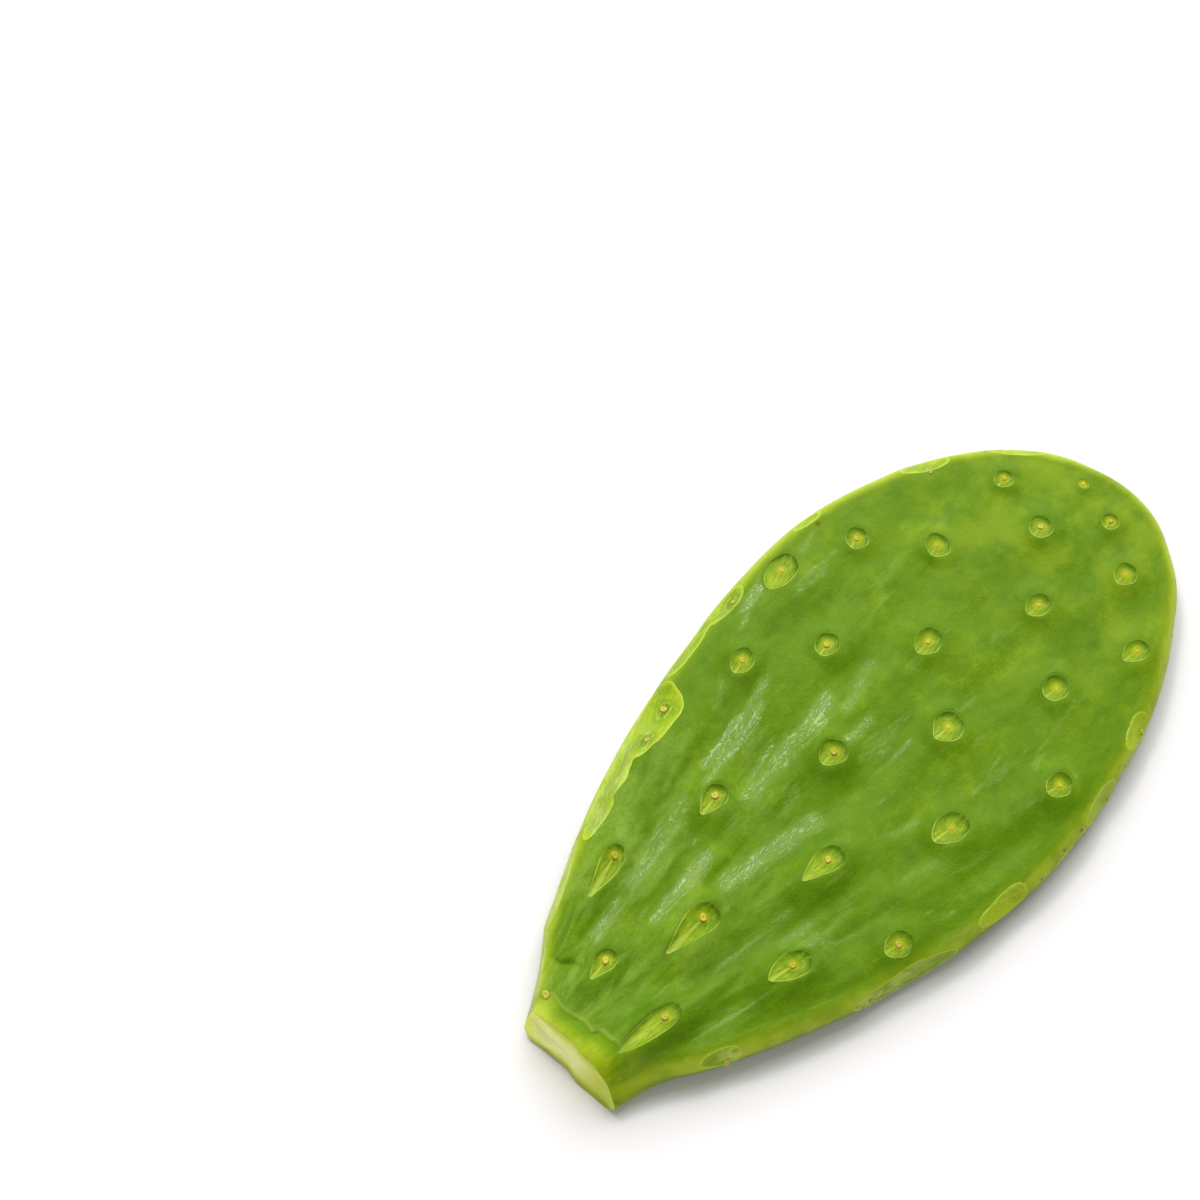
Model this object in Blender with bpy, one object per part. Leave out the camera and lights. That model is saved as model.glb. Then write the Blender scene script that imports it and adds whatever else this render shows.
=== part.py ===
"""A prickly pear cactus pad (nopal), cut at its stem end, despined and lying flat. It grew as one piece, so it is
one solid: a flat egg-shaped pad with a rounded rim, a thick oval stem end with a knife-cut face, and the low
mounds where its spine clusters were shaved off. +Y runs from the cut end to the tip, +Z is up, and the pad rests
on the shaved mounds of its underside. The origin is in the middle of its outline, on the surface it lies on."""

import bmesh
import bpy
import numpy as np

MM = 0.001  # the sizes below are in millimetres

# The rim seen from above, from the cut's left corner round the tip to its right corner: across, along.
RIM = [
    (-14.5, 3), (-18.5, 12), (-26.5, 24), (-34, 40), (-41.5, 59), (-47, 80), (-51, 100), (-53.5, 124),
    (-53, 145), (-48.5, 163), (-40, 182), (-27, 198), (-12, 207), (2, 210), (16, 206.5), (29, 195),
    (40, 178.5), (47.5, 160), (51.5, 140), (53.8, 118), (52, 95), (46.5, 71), (38.5, 48), (29, 28),
    (20.5, 13.5), (16.5, 3),
]

MID_HEIGHT = 6.0  # of the rim above the surface the pad lies on
PAD_HALF = 5.3  # half the thickness in the middle of the pad
RIM_RADIUS = 4.0  # of the rounded rim
BELLY_CLEARANCE = 0.9  # of the flat underside, which the mounds stand out from
SWELL = 10.0  # distance from the rim over which the pad gains its full thickness
STEM_HALF = 6.4  # half the thickness at the cut
STEM_LIFT = 0.6  # how far the stem end's middle lies above the rim's
STEM_REACH = 16.0  # how far the thicker stem end runs into the pad
CUT_START = 1.5  # of the knife cut, at the bottom of the stem end
CUT_LEAN = 0.23  # how far the cut slopes back for each millimetre of height

ROWS = 38  # along the pad
CELLS_ACROSS = 14  # between the two bands that round each side of the rim
RIM_BANDS = (0.02, 0.075)  # their inner edges, as shares of the half width

FACET_HALF_WIDTH = 3.3  # of the flat left by shaving a spine cluster
MOUND_SKIRT = 2.8  # from the edge of that flat to the foot of its mound
MOUND_HEIGHT = 0.75
AROUND = ((-1, -1), (-1, 0), (-1, 1), (0, 1), (1, 1), (1, 0), (1, -1), (0, -1))  # rows and columns to its foot
MOST_ROOM = 0.8  # of the way to the next grid vertices, which a mound's foot may take
FIRST_FREE_COLUMN = 3  # the columns nearer the rim than this one stay where they are
RIM_CLEARANCE = 4.6  # of a flat's edge from the rim
NUB_RADIUS = 0.95  # of the stub of cut spines
NUB_HEIGHT = 0.6
NUB_SETBACK = 0.25  # of the stub from the flat's middle towards the tip, as a share of its length

# The shaved clusters on the upper face: across, along, half the flat's length.
UPPER_AREOLES = [
    (-8, 25, 4.4), (12, 25, 5.4), (-24, 45, 5.2), (2, 47, 5.4), (25, 53, 4.6), (-17, 73, 4.4), (14, 78, 4.8),
    (39, 76, 3.6), (-39, 78, 5.4), (-36, 104, 3.8), (-4, 101, 4.0), (30, 106, 4.2), (-24, 122, 3.4),
    (12, 125, 3.9), (42, 132, 3.5), (-45, 130, 4.6), (-6, 139.5, 3.6), (-38, 149.5, 3.3), (25, 151.5, 3.4),
    (-22, 162, 3.3), (7, 166, 3.3), (33, 173, 3.4), (-6, 183.5, 3.3), (17.5, 187, 3.3), (-22, 187, 3.3),
]

# The underside's rows lie between the upper face's. The clusters furthest from the rim carry the pad.
UNDER_AREOLES = [
    (-8, 36, 4.4), (13, 43, 4.4), (-25, 60, 4.2), (1, 66, 4.0), (27, 72, 3.8), (-35, 86, 3.6), (-12, 88, 3.6),
    (12, 95, 3.6), (38, 100, 3.5), (-26, 110, 3.5), (-2, 116, 3.5), (23, 121, 3.5), (-40, 134, 3.4),
    (-17, 138, 3.4), (8, 143, 3.4), (35, 146, 3.4), (-31, 160, 3.3), (-7, 165, 3.3), (19, 168, 3.3),
    (-14, 187, 3.3), (10, 190, 3.3),
]
REST_DEPTH = 17.0  # a cluster at least this far from the rim has its flat on the surface


def smooth_through(points, count):
    """Evenly spaced points on a Catmull-Rom curve through the given ones."""
    knots = np.array(points, float)
    knots = np.vstack([2 * knots[0] - knots[1], knots, 2 * knots[-1] - knots[-2]])
    t = np.linspace(0, 1, 24, endpoint=False)[:, None]
    spans = []
    for a, b, c, d in zip(knots, knots[1:], knots[2:], knots[3:]):
        cubic = 2 * a - 5 * b + 4 * c - d + t * (3 * (b - c) + d - a)
        spans.append(b + 0.5 * t * (c - a + t * cubic))
    return respaced(np.vstack([*spans, knots[-2]]), count)


def respaced(line, count):
    """The same line with evenly spaced points."""
    steps = np.linalg.norm(np.diff(line, axis=0), axis=1)
    run = np.concatenate([[0], np.cumsum(steps)])
    even = np.linspace(0, run[-1], count)
    return np.column_stack([np.interp(even, run, line[:, 0]), np.interp(even, run, line[:, 1])])


RIM_LINE = smooth_through(RIM, 800)
TIP_INDEX = int(RIM_LINE[:, 1].argmax())


def rim_distance(x, y):
    return float(np.hypot(RIM_LINE[:, 0] - x, RIM_LINE[:, 1] - y).min())


def half_thickness(depth, half, radius):
    """A quarter circle in from the rim, then a slow swell to the full half thickness."""
    inward = min(depth / radius, 1.0)
    return radius * np.sqrt(1 - (1 - inward) ** 2) + (half - radius) * (1 - np.exp(-depth / SWELL))


def skin_height(x, y, upper):
    """Height of the smooth skin over a point, before its mounds."""
    depth = rim_distance(x, y)
    stem = np.exp(-((max(y, 0) / STEM_REACH) ** 2))
    middle = MID_HEIGHT + STEM_LIFT * stem
    face_half = PAD_HALF if upper else MID_HEIGHT - BELLY_CLEARANCE
    half = face_half + (STEM_HALF - face_half) * stem
    radius = RIM_RADIUS + (STEM_HALF - RIM_RADIUS) * stem
    thickness = half_thickness(depth, half, radius)
    return middle + thickness if upper else middle - thickness


def skin_point(x, y, upper):
    return (x * MM, y * MM, skin_height(x, y, upper) * MM)


def columns():
    """Places across the pad, from -1 at the left rim to 1 at the right."""
    inner = np.linspace(RIM_BANDS[-1] - 1, 1 - RIM_BANDS[-1], CELLS_ACROSS + 1)
    return np.concatenate([[-1, RIM_BANDS[0] - 1], inner, [1 - RIM_BANDS[0], 1]])


def joined_ring(mesh, ring):
    return [mesh.edges.new((a, b)) for a, b in zip(ring, ring[1:] + ring[:1])]


def lofted_pad(mesh):
    """Bridges oval rings from the cut to the tip. Returns the upper and the under rows of vertices, and the
    places across and along that both stand over."""
    left = respaced(RIM_LINE[: TIP_INDEX + 1], ROWS + 1)
    right = respaced(RIM_LINE[TIP_INDEX:][::-1], ROWS + 1)
    across = (columns() + 1) / 2
    upper_rows, under_rows, places, ring_before = [], [], [], None
    for from_left, from_right in zip(left[:-1], right[:-1]):
        plan = [from_left + (from_right - from_left) * share for share in across]
        upper = [mesh.verts.new(skin_point(x, y, True)) for x, y in plan]
        under = [mesh.verts.new(skin_point(x, y, False)) for x, y in plan[1:-1]]
        ring = joined_ring(mesh, upper + under[::-1])
        if ring_before:
            bmesh.ops.bridge_loops(mesh, edges=ring_before + ring)
        else:
            cut_end = upper + under[::-1]
        ring_before = ring
        upper_rows.append(upper)
        under_rows.append([upper[0], *under, upper[-1]])
        places.append(plan)
    for vertex in cut_end:
        vertex.co.y = (CUT_START + CUT_LEAN * vertex.co.z / MM) * MM
    mesh.faces.new(cut_end)
    blunt_tip = mesh.faces.new(upper_rows[-1] + under_rows[-1][1:-1][::-1])
    pole = bmesh.ops.poke(mesh, faces=[blunt_tip])["verts"][0]
    pole.co = (*(RIM_LINE[TIP_INDEX] * MM), MID_HEIGHT * MM)
    return upper_rows, under_rows, np.array(places)


def nearest_crossing(places, x, y):
    """Row and column of the grid vertex nearest to a place, clear of the rim and the ends."""
    inside = places[2:-2, FIRST_FREE_COLUMN:-FIRST_FREE_COLUMN]
    nearest = np.hypot(inside[..., 0] - x, inside[..., 1] - y).argmin()
    row, column = np.unravel_index(nearest, inside.shape[:2])
    return row + 2, column + FIRST_FREE_COLUMN


def reshaped(vertices, centre, half_width, half_length, height):
    """Moves a loop of vertices onto an oval about the centre, at the height that the function gives."""
    for vertex in vertices:
        angle = np.arctan2(vertex.co.y / MM - centre[1], vertex.co.x / MM - centre[0])
        x = centre[0] + half_width * np.cos(angle)
        y = centre[1] + half_length * np.sin(angle)
        vertex.co = (x * MM, y * MM, height(x, y) * MM)


def facet_plane(x, y, upper):
    """The flat of a shaved cluster: level and on the surface where it carries the pad, else along the skin."""
    if not upper and rim_distance(x, y) >= REST_DEPTH:
        return lambda at_x, at_y: 0.0
    step = FACET_HALF_WIDTH
    slope_x = (skin_height(x + step, y, upper) - skin_height(x - step, y, upper)) / (2 * step)
    slope_y = (skin_height(x, y + step, upper) - skin_height(x, y - step, upper)) / (2 * step)
    top = skin_height(x, y, upper) + (MOUND_HEIGHT if upper else -MOUND_HEIGHT)
    return lambda at_x, at_y: top + slope_x * (at_x - x) + slope_y * (at_y - y)


def mound_foot(rows, places, x, y, row, column, upper, reach):
    """The eight vertices round a grid vertex, moved onto an oval about the mound. Those of the rim's band stay."""
    around = []
    for step, (r, c) in enumerate(AROUND):
        vertex, beyond = rows[row + r][column + c], places[row + 2 * r, column + 2 * c]
        angle = np.radians(225 + 45 * step)
        foot = reach[0] * np.cos(angle), reach[1] * np.sin(angle)
        share = min(1.0, MOST_ROOM * np.hypot(beyond[0] - x, beyond[1] - y) / np.hypot(*foot))
        if FIRST_FREE_COLUMN <= column + c < len(rows[row]) - FIRST_FREE_COLUMN:
            vertex.co = skin_point(x + share * foot[0], y + share * foot[1], upper)
        around.append(vertex)
    return around


def shaved_areole(mesh, rows, places, x, y, half_length, upper):
    """Raises a low mound with a flat oval top and, on the upper face, the stub of the cut spines."""
    row, column = nearest_crossing(places, x, y)
    middle = rows[row][column]
    half_width = min(FACET_HALF_WIDTH, rim_distance(x, y) - RIM_CLEARANCE)
    reach = half_width + MOUND_SKIRT, half_length + MOUND_SKIRT
    around = mound_foot(rows, places, x, y, row, column, upper, reach)
    bmesh.ops.dissolve_verts(mesh, verts=[middle])
    flat = next(face for face in around[0].link_faces if set(face.verts) == set(around))
    plane = facet_plane(x, y, upper)
    bmesh.ops.inset_individual(mesh, faces=[flat], thickness=0.5 * MOUND_SKIRT * MM)
    reshaped(flat.verts, (x, y), half_width, half_length, plane)
    if not upper:
        return
    nub = (x, y + NUB_SETBACK * half_length)
    for radius, rise in ((NUB_RADIUS, 0.0), (0.8 * NUB_RADIUS, NUB_HEIGHT)):
        bmesh.ops.inset_individual(mesh, faces=[flat], thickness=0.1 * NUB_RADIUS * MM)
        reshaped(flat.verts, nub, radius, radius, lambda at_x, at_y: plane(at_x, at_y) + rise)


def skin_material():
    material = bpy.data.materials.new("cactus_skin")
    material.use_nodes = True
    shader = material.node_tree.nodes["Principled BSDF"]
    shader.inputs["Base Color"].default_value = (0.13, 0.27, 0.03, 1)
    shader.inputs["Roughness"].default_value = 0.42
    shader.inputs["Metallic"].default_value = 0.0
    return material


def nopal_pad():
    mesh = bmesh.new()
    upper_rows, under_rows, places = lofted_pad(mesh)
    for x, y, half_length in UPPER_AREOLES:
        shaved_areole(mesh, upper_rows, places, x, y, half_length, True)
    for x, y, half_length in UNDER_AREOLES:
        shaved_areole(mesh, under_rows, places, x, y, half_length, False)
    bmesh.ops.recalc_face_normals(mesh, faces=mesh.faces)
    corners = np.array([vertex.co for vertex in mesh.verts])
    centre = (corners.min(axis=0) + corners.max(axis=0)) / 2
    bmesh.ops.translate(mesh, verts=mesh.verts, vec=(-centre[0], -centre[1], 0))
    data = bpy.data.meshes.new("nopal_pad")
    mesh.to_mesh(data)
    mesh.free()
    data.shade_smooth()
    data.set_sharp_from_angle(angle=np.radians(40))
    data.materials.append(skin_material())
    pad = bpy.data.objects.new("nopal_pad", data)
    bpy.context.scene.collection.objects.link(pad)


for leftover in list(bpy.data.objects):
    bpy.data.objects.remove(leftover)
nopal_pad()
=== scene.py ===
from functools import partial, reduce

import bpy
import numpy as np
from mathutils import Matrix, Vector


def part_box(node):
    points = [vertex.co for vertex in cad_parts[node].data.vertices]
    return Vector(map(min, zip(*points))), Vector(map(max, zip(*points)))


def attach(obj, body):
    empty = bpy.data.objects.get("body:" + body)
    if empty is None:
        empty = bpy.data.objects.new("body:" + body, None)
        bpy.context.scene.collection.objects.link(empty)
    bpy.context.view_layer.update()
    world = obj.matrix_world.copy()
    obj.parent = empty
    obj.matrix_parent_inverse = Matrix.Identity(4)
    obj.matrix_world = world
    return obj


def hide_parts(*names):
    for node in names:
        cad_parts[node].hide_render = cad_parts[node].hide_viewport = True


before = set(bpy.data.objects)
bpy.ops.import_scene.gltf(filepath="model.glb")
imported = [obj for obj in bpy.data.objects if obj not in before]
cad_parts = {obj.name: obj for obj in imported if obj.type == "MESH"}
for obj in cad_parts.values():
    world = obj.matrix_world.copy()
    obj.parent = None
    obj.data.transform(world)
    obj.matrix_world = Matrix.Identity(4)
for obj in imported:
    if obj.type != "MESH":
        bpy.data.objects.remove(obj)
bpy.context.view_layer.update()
padLow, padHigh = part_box("nopal_pad")
print("frame loaded, pad", [round((b - a) * 1000, 1) for a, b in zip(padLow, padHigh)], "mm")

mm = 0.001


def smoothLine(points, count):
    # a Catmull-Rom curve through the points, then the same line with evenly spaced points
    knots = np.array(points, float)
    knots = np.vstack([2 * knots[0] - knots[1], knots, 2 * knots[-1] - knots[-2]])
    a, b, c, d = (knots[i : len(knots) - 3 + i, None] for i in range(4))
    t = np.linspace(0, 1, 24, endpoint=False)[None, :, None]
    curve = b + 0.5 * t * (c - a + t * (2 * a - 5 * b + 4 * c - d + t * (3 * (b - c) + d - a)))
    return evenLine(np.vstack([curve.reshape(-1, 2), knots[-2]]), count)


def evenLine(line, count):
    # the same line, its points evenly spaced along its length
    run = np.concatenate([[0], np.cumsum(np.hypot(*np.diff(line, axis=0).T))])
    even = np.linspace(0, run[-1], count)
    return np.column_stack([np.interp(even, run, line[:, 0]), np.interp(even, run, line[:, 1])])


def unevenLine(line):
    # points along the line, closer together at its start
    fine = 2000
    even = evenLine(line, fine)
    at = np.linspace(0, 1, padShape["rows"], endpoint=False) ** padShape["rowCrowding"] * (fine - 1)
    return np.column_stack([np.interp(at, np.arange(fine), even[:, axis]) for axis in (0, 1)])


def softNoise(u, v, seed):
    # random values from -1 to 1 on a lattice, blended between its crossings with a smooth step
    size = 64
    lattice = np.random.default_rng(seed).uniform(-1, 1, (size, size))
    iu, iv = np.floor(u).astype(int), np.floor(v).astype(int)
    fu, fv = u - iu, v - iv
    fu, fv = (f * f * f * (f * (6 * f - 15) + 10) for f in (fu, fv))
    left, right, near, far = iu % size, (iu + 1) % size, iv % size, (iv + 1) % size
    nearer = lattice[left, near] * (1 - fu) + lattice[right, near] * fu
    further = lattice[left, far] * (1 - fu) + lattice[right, far] * fu
    return nearer * (1 - fv) + further * fv


def smoothStep(value, low, high):
    # 0 below low, 1 above high, and the curve 3t^2 - 2t^3 between
    t = np.clip((value - low) / (high - low), 0, 1)
    return t * t * (3 - 2 * t)


def meshPiece(name, places, quads, triangles=()):
    # a mesh object from arrays of places in millimetres and of corners
    mesh = bpy.data.meshes.new(name)
    faces = [*map(tuple, np.asarray(quads).tolist()), *map(tuple, np.asarray(triangles).tolist())]
    mesh.from_pydata((places * mm).tolist(), [], faces)
    mesh.shade_smooth()
    piece = bpy.data.objects.new(name, mesh)
    bpy.context.scene.collection.objects.link(piece)
    return piece


def keepValues(piece, name, values):
    # three numbers kept at every vertex for the materials to read
    kept = piece.data.attributes.new(name, "FLOAT_VECTOR", "POINT")
    kept.data.foreach_set("vector", values.astype(np.float32).ravel())


padShape = {
    "rim": [  # across and along, from the cut's left corner round the tip to its right corner
        (-14.5, 3), (-18.5, 12), (-26.5, 24), (-34, 40), (-41.5, 59), (-47, 80), (-51, 100), (-53.5, 124),
        (-53, 145), (-48.5, 163), (-40, 182), (-27, 198), (-12, 207), (2, 210), (16, 206.5), (29, 195),
        (40, 178.5), (47.5, 160), (51.5, 140), (53.8, 118), (52, 95), (46.5, 71), (38.5, 48), (29, 28),
        (20.5, 13.5), (16.5, 3),
    ],
    "rimPoints": 800,
    "rimWander": 0.35,  # how far the rim strays in and out
    "rimSway": 0.7,  # how far it strays up and down
    "midHeight": 6.0,
    "halfThickness": 5.3,
    "bellyClearance": 0.9,  # of the flat underside, which the mounds stand out from
    "rimRadius": 4.0,
    "swell": 10.0,  # distance from the rim over which the pad gains its full thickness
    "stemHalf": 6.4,  # half the thickness at the cut
    "stemLift": 0.6,
    "stemReach": 16.0,
    "cutStart": 1.5,  # of the knife cut, at the bottom of the stem end
    "cutLean": 0.23,  # slope of the cut, along for each millimetre up
    "rows": 290,
    "rowCrowding": 1.22,  # more than 1 sets the rows closer together at the stem
    "columnsAbove": 170,
    "columnsBelow": 96,
    "rimColumns": 11,  # more columns in each rounded rim
    "rimShare": 0.075,  # the rounded rim's share of the half width
    "crowding": 0.42,  # how far the grid is drawn in round each cluster
    "foldHeight": 0.56,  # of the long soft folds
    "lumpHeight": 0.55,  # of the broad lumps
    "rippleHeight": 0.06,
    "rollDepth": 0.26,  # of the furrow that sets off the rolled rim
    "cornerDrop": 3.6,  # how much lower the middle lies at the stem end's right corner
    "moundWidth": 2.3,
    "moundRise": 1.38,
    "flatSink": 0.16,  # of a flat's edge below its mound's top
    "flatScoop": 0.26,  # of its middle below its edge
    "collarStep": 0.42,  # from the skin down to the peeled collar
}

# Shaved spine clusters of the upper face: across, along, half width, length towards the tip, length towards
# the stem, taper of the tail, height of the mound, radius of the stub, height of the stub.
upperAreoles = [
    (-7.9, 24.7, 2.4, 3.4, 6, 0.6, 1, 0.82, 0.6),
    (11.9, 23.9, 2.8, 4.2, 13.5, 0.3, 1.7, 0.82, 0.45),
    (-24.3, 45.3, 2.7, 3, 12, 0.62, 1.1, 0.88, 0.6),
    (1.7, 48.2, 3.6, 4, 12, 0.7, 1.2, 0.92, 0.6),
    (25, 53.9, 3.4, 4.6, 6.8, 0.45, 1.2, 0.72, 0.35),
    (-17, 73.1, 2.9, 3.3, 5.8, 0.55, 1.2, 0.84, 0.55),
    (13.7, 79.2, 3.2, 4.2, 8, 0.6, 1.3, 0.75, 0.42),
    (39.6, 75, 3.1, 3.6, 3.9, 0.2, 0.9, 0.75, 0.4),
    (-3.7, 101, 3.3, 3.5, 4.4, 0.35, 1.2, 0.75, 0.51),
    (29.7, 105.7, 3.8, 4.4, 5.2, 0.2, 1.2, 0.55, 0.1),
    (-36.2, 104.2, 3, 3.2, 3.9, 0.25, 0.9, 0.65, 0.25),
    (-24, 122, 3.1, 3, 3.3, 0.15, 0.9, 0.7, 0.35),
    (12.2, 125.4, 3.8, 4, 4.6, 0.2, 1.1, 0.5, 0.1),
    (41.5, 132, 3, 3.3, 3.7, 0.15, 0.9, 0.5, 0.2),
    (-46.2, 130.1, 3.8, 4.8, 6.2, 0.25, 0.5, 0.65, 0.2),
    (-6.2, 139.5, 3.4, 3.6, 4, 0.15, 1, 0.6, 0.25),
    (-38.1, 149.5, 2.9, 3, 3.1, 0.1, 0.8, 0.6, 0.25),
    (24.7, 151.4, 3.1, 3.3, 3.7, 0.15, 1, 0.5, 0.1),
    (-22, 161.9, 3.4, 2.9, 3.3, 0.15, 0.9, 0.5, 0.12),
    (7.2, 165.9, 3, 3.1, 3.5, 0.15, 0.9, 0.5, 0.12),
    (32.8, 173.1, 2.8, 3.4, 4.2, 0.25, 0.9, 0.5, 0.1),
    (-6.2, 183.4, 3, 2.8, 3.5, 0.15, 0.8, 0.7, 0.3),
    (17.5, 187.9, 2.8, 3, 3.6, 0.15, 0.8, 0.45, 0.05),
    (-22.1, 188.1, 2.6, 2.2, 2.5, 0.1, 0.7, 0.6, 0.25),
    (5.4, 197, 2.2, 2.2, 2.3, 0.1, 0.6, 0.5, 0.4),
    (-6.6, 201.1, 1.6, 1.2, 1.3, 0.1, 0.3, 0.45, 0.1),
]

# The underside's clusters: across, along. Their rows lie between the upper face's.
underPlaces = [
    (-8, 36), (13, 43), (-25, 60), (1, 66), (27, 72), (-35, 86), (-12, 88), (12, 95), (38, 100), (-26, 110),
    (-2, 116), (23, 121), (-40, 134), (-17, 138), (8, 143), (35, 146), (-31, 160), (-7, 165), (19, 168),
    (-14, 187), (10, 190),
]
restDepth = 17.0  # a cluster at least this far from the rim has its flat on the surface


def underAreole(x, y):
    # the flats grow longer towards the stem
    stemward = max(0.0, 1 - y / 130)
    return x, y, 3.2, 3.3 + stemward, 3.5 + 3 * stemward, 0.2 + 0.4 * stemward, 0.75, 0.6, 0.0


underAreoles = [underAreole(x, y) for x, y in underPlaces]

# Flats trimmed off the rim with a knife: a place near them, tilt of the flat, depth, length towards the tip,
# length towards the stem.
rimCuts = [
    (-43, 82, 66, 1.55, 8, 24), (-37.5, 62, 62, 1.1, 11, 11), (-49.5, 99, 42, 0.95, 14, 15),
    (-50.6, 115.5, 54, 1.15, 6, 12), (-34.5, 53, 68, 0.7, 6, 8), (-28, 31, 22, 0.8, 18, 20),
    (-20, 14, 14, 0.6, 10, 14), (-50.5, 146, 48, 0.4, 4, 6), (-38, 178, 52, 0.9, 6, 9),
    (-24, 196, 46, 0.3, 8, 9), (-2, 209, 40, 0.25, 8, 8), (46.8, 159, 48, 1, 4, 9),
    (52, 138.7, 26, 0.7, 6, 10), (51.8, 104, 44, 1.2, 4, 20), (44.5, 70, 16, 1.4, 22, 20),
    (28.5, 27, 34, 0.7, 5, 9), (18, 205, 36, 0.3, 8, 9), (38, 181, 22, 0.3, 9, 9), (53.6, 120, 14, 0.35, 8, 9),
]

# Stubs of the clusters that the rim's flats cut through: across, along, radius, height.
rimStubs = [
    (-42.3, 82.5, 0.85, 0.4), (-39.8, 73.5, 0.6, 0.25), (-49.6, 115.5, 0.6, 0.25), (-37, 177.2, 0.5, 0.2),
    (46.8, 158.6, 0.6, 0.3), (51.6, 139.5, 0.5, 0.3), (51.2, 104.6, 0.55, 0.15), (28.2, 27, 0.7, 0.3),
    (43, 62, 0.6, 0.7), (-12.4, 9, 0.9, 0.4),
]

# The peeled collar's ragged upper edge: across, along.
collarEdge = [
    (-18, 5.5), (-14, 6.1), (-11.8, 9.1), (-8.8, 9.3), (-5.4, 9.1), (-2.7, 9.7), (0, 9), (1.8, 8.5), (2.7, 10),
    (5.2, 10.3), (7.6, 11.2), (9.6, 11), (11.2, 9), (13.2, 6.6), (15, 4), (16.5, 1), (19, -4),
]

# Dark specks and scars in the skin: across, along, radius.
skinSpecks = [
    (-5.1, 159, 0.5), (-4.3, 158.6, 0.35), (-12.3, 192.1, 0.5), (-1.5, 186, 0.4), (52.2, 128, 0.7),
    (52.6, 121, 0.5), (49.5, 149, 0.6), (53, 112, 0.6), (36, 184, 0.5), (22, 201, 0.5), (-31, 192, 0.5),
    (43.5, 61, 0.8), (-48.4, 146.4, 0.9), (46.9, 158.2, 0.5), (51.4, 104.2, 0.6), (52.6, 138.6, 0.8),
]

# Long soft folds of the upper face: across and along of each end, half width, rise, gloss of the left slope.
glossyFolds = [
    (-24.4, 78.7, -25.8, 97.4, 3, 0.42, 1), (-12.1, 91, -14.6, 111.2, 3.4, 0.42, 1),
    (-0.1, 58.6, 4.4, 85.1, 3.4, 0.5, 1), (-6.2, 40.8, -8.5, 59.7, 2.6, 0.42, 1),
    (-16.8, 43.9, -21.6, 67.4, 2.8, 0.45, 0.9), (-21.6, 74.9, -23.3, 86.9, 2.2, 0.2, 0.9),
    (-11.1, 78.7, -11.5, 97, 3, 0.35, 0.8), (-14.3, 27.4, -16, 36.4, 2, 0.3, 0.7),
    (19.6, 56.9, 20.9, 63.9, 2.2, 0.2, 0.6), (-9.4, 112.7, -12.7, 125.5, 2.8, 0.25, 0.6),
    (-3.3, 105.7, -3.3, 113.1, 2.2, 0.15, 0.8), (-27.4, 99.1, -28.7, 103.9, 2.2, 0.2, 0.7),
    (-43.5, 113, -48.6, 124.6, 1.8, 0.1, 0.6), (-46.3, 138.7, -47.3, 143.2, 1.6, 0.1, 0.6),
    (-38.5, 58, -42, 70, 2.6, 0, 0.8), (-33, 92, -38, 98, 2, 0.2, 0.5), (-34, 48, -38, 58, 3, 0.1, 0.8),
    (30, 88, 34, 100, 3.5, 0.3, 0.35), (44, 100, 47, 116, 3.2, 0.3, 0.3), (50.5, 166, 47, 176, 2.2, 0.15, 0.5),
    (21, 96, 22.5, 101, 1.8, 0.15, 0.6), (10, 92, 9, 118, 4, 0.4, 0), (-26, 126, -31, 146, 4, 0.35, 0.1),
    (16, 132, 17.5, 158, 4.5, 0.35, 0), (-1, 142, -2, 166, 4.5, 0.3, 0), (34, 112, 38, 128, 4, 0.35, 0),
    (-15, 148, -18, 174, 4.5, 0.3, 0), (31, 56, 36, 74, 3.2, 0.35, 0.1), (13.5, 34, 19.5, 52, 3.2, 0.35, 0.1),
    (10.5, 160, 13, 184, 4.5, 0.3, 0), (26, 140, 32, 164, 4.5, 0.3, 0), (18, 36, 15.5, 8, 2.8, 1.1, 0),
]

rimLine = smoothLine(padShape["rim"], padShape["rimPoints"])
tipIndex = int(rimLine[:, 1].argmax())
rimAhead = np.gradient(rimLine, axis=0)
rimAhead /= np.linalg.norm(rimAhead, axis=1)[:, None]
rimOutward = np.column_stack([-rimAhead[:, 1], rimAhead[:, 0]])
rimSpacing = np.hypot(*(rimLine[1] - rimLine[0]))


def depthFromRim(x, y):
    # distance to the nearest piece of the rim line, and which of its points that is
    depth, nearest = np.empty(x.size), np.empty(x.size, int)
    for part in np.array_split(np.arange(x.size), 1 + x.size // 8000):
        across = x.ravel()[part, None] - rimLine[:, 0]
        along = y.ravel()[part, None] - rimLine[:, 1]
        close = (across**2 + along**2).argmin(axis=1)
        step = np.column_stack([across[np.arange(part.size), close], along[np.arange(part.size), close]])
        inward = (step * rimOutward[close]).sum(axis=1)
        past = np.maximum(abs((step * rimAhead[close]).sum(axis=1)) - rimSpacing, 0)
        depth[part], nearest[part] = np.hypot(inward, past), close
    return depth.reshape(x.shape), nearest.reshape(x.shape)


def skinHeight(x, y, depth, upper):
    # the middle height, plus or minus a quarter circle in from the rim and a slow swell behind it
    stem = np.exp(-((np.maximum(y, 0) / padShape["stemReach"]) ** 2))
    faceHalf = padShape["halfThickness"] if upper else padShape["midHeight"] - padShape["bellyClearance"]
    half = faceHalf + (padShape["stemHalf"] - faceHalf) * stem
    radius = padShape["rimRadius"] + (padShape["stemHalf"] - padShape["rimRadius"]) * stem
    corner = stem**1.5 * smoothStep(x, 1, 17)
    inward = np.minimum(depth / radius / (1 + 1.1 * corner), 1)
    swelled = 1 - np.exp(-depth / padShape["swell"])
    rise = radius * np.sqrt(1 - (1 - inward) ** 2) + (half - radius) * swelled
    middle = padShape["midHeight"] + padShape["stemLift"] * stem - padShape["cornerDrop"] * corner
    return middle + rise if upper else middle - rise


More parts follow.
